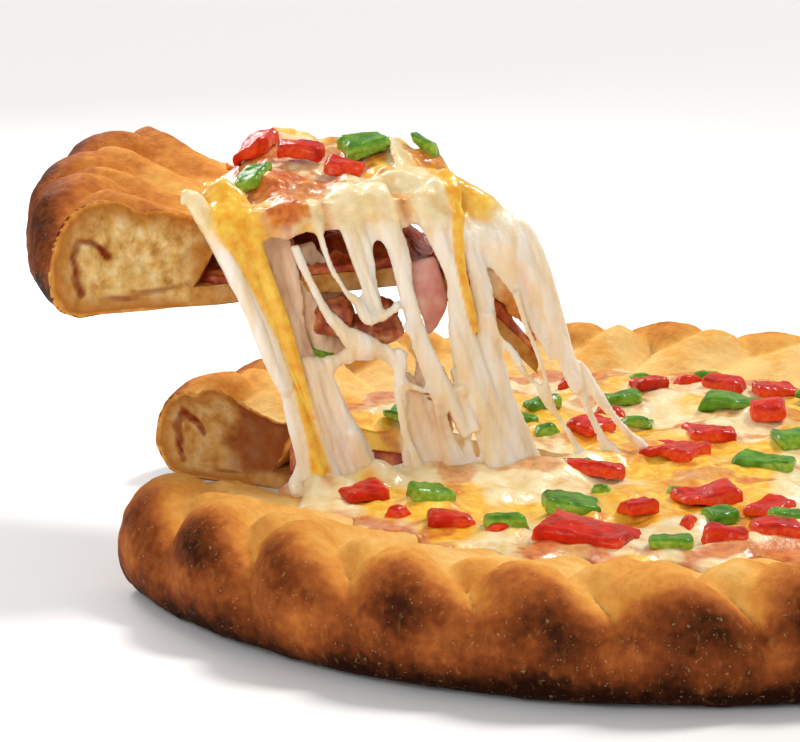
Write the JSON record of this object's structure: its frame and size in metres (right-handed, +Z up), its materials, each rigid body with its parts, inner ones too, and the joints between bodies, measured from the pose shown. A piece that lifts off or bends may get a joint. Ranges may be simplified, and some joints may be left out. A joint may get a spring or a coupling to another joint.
{
  "type": "pan pizza",
  "caption": "Round pan pizza with a braided rim, melted cheese and diced peppers, one slice lifted on stretching strands of cheese.",
  "frame": {"origin": "centre of the pizza's flat underside", "axes": "+Z up out of the toppings, +X to the right of the pictured front, +Y away from the viewer; the slice comes out towards -X"},
  "size_m": [0.3747, 0.3559, 0.1313],
  "materials": {
    "crust": "baked dough, golden to dark brown",
    "filling": "moist tomato and meat filling",
    "cheese": "melted, glossy, cream with yellow and browned patches",
    "sausage": "coarse cooked meat",
    "ham": "moist pink",
    "red_pepper": "glossy skin",
    "green_pepper": "glossy skin"
  },
  "bodies": {
    "root": {"green_pepper_01": "green_pepper", "green_pepper_02": "green_pepper", "green_pepper_03": "green_pepper", "green_pepper_04": "green_pepper", "green_pepper_05": "green_pepper", "green_pepper_06": "green_pepper", "green_pepper_07": "green_pepper", "green_pepper_08": "green_pepper", "green_pepper_09": "green_pepper", "green_pepper_10": "green_pepper", "green_pepper_11": "green_pepper", "green_pepper_12": "green_pepper", "green_pepper_13": "green_pepper", "green_pepper_14": "green_pepper", "green_pepper_15": "green_pepper", "green_pepper_16": "green_pepper", "green_pepper_17": "green_pepper", "green_pepper_18": "green_pepper", "green_pepper_held": "green_pepper", "ham_slab": "ham", "pizza_cheese": "cheese", "pizza_crust": "crust", "pizza_filling": "filling", "red_pepper_01": "red_pepper", "red_pepper_02": "red_pepper", "red_pepper_03": "red_pepper", "red_pepper_04": "red_pepper", "red_pepper_05": "red_pepper", "red_pepper_06": "red_pepper", "red_pepper_07": "red_pepper", "red_pepper_08": "red_pepper", "red_pepper_09": "red_pepper", "red_pepper_10": "red_pepper", "red_pepper_11": "red_pepper", "red_pepper_12": "red_pepper", "red_pepper_13": "red_pepper", "red_pepper_14": "red_pepper", "red_pepper_15": "red_pepper", "red_pepper_16": "red_pepper", "red_pepper_17": "red_pepper", "red_pepper_18": "red_pepper", "red_pepper_19": "red_pepper", "red_pepper_20": "red_pepper", "red_pepper_21": "red_pepper", "red_pepper_held": "red_pepper", "sausage_large": "sausage", "sausage_middle": "sausage", "sausage_small": "sausage", "slice_cheese": "cheese", "slice_crust": "crust", "slice_filling": "filling", "slice_green_pepper_01": "green_pepper", "slice_green_pepper_02": "green_pepper", "slice_green_pepper_03": "green_pepper", "slice_green_pepper_04": "green_pepper", "slice_red_pepper_01": "red_pepper", "slice_red_pepper_02": "red_pepper", "slice_red_pepper_03": "red_pepper"}
  },
  "joints": []
}
